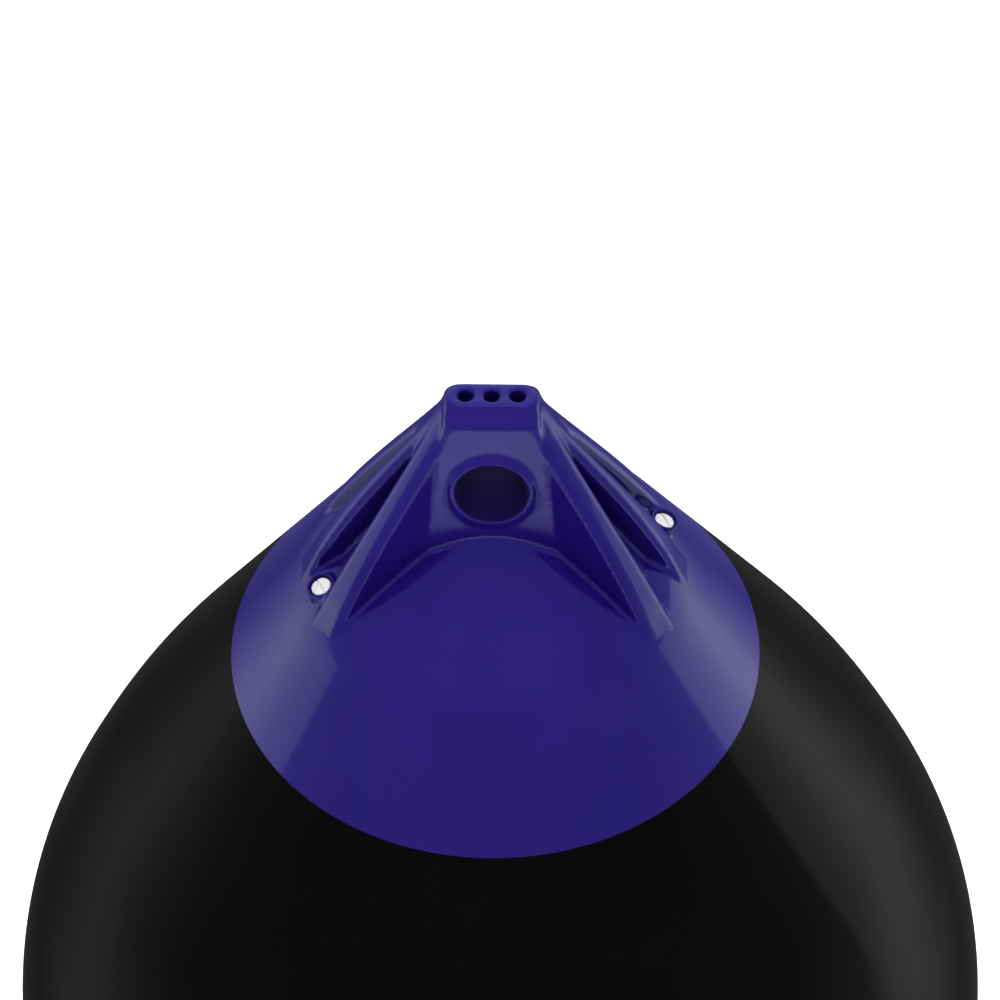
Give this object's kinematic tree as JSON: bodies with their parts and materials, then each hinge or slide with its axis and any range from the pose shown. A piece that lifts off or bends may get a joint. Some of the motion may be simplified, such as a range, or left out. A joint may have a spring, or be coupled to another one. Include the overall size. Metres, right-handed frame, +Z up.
{
  "type": "mooring buoy",
  "caption": "Inflatable mooring buoy: a sealed black vinyl body under a blue-violet moulded rope hold with a rope eye, fanned webs and white valve screws.",
  "frame": {"origin": "on the body's axis at the level of its lowest point, the centre of the bounding box's underside", "axes": "+Z up the axis from the body's round bottom to the rope hold's head, +Y along the rope eye, +X along the rope hold's wide side"},
  "size_m": [0.686, 0.686, 0.914],
  "materials": {
    "body_vinyl": "gloss",
    "rope_hold_vinyl": "gloss",
    "valve_plastic": "satin"
  },
  "bodies": {
    "root": {"body": "body_vinyl", "rope_hold": "rope_hold_vinyl", "valve_screw_left": "valve_plastic", "valve_screw_right": "valve_plastic"}
  },
  "joints": []
}
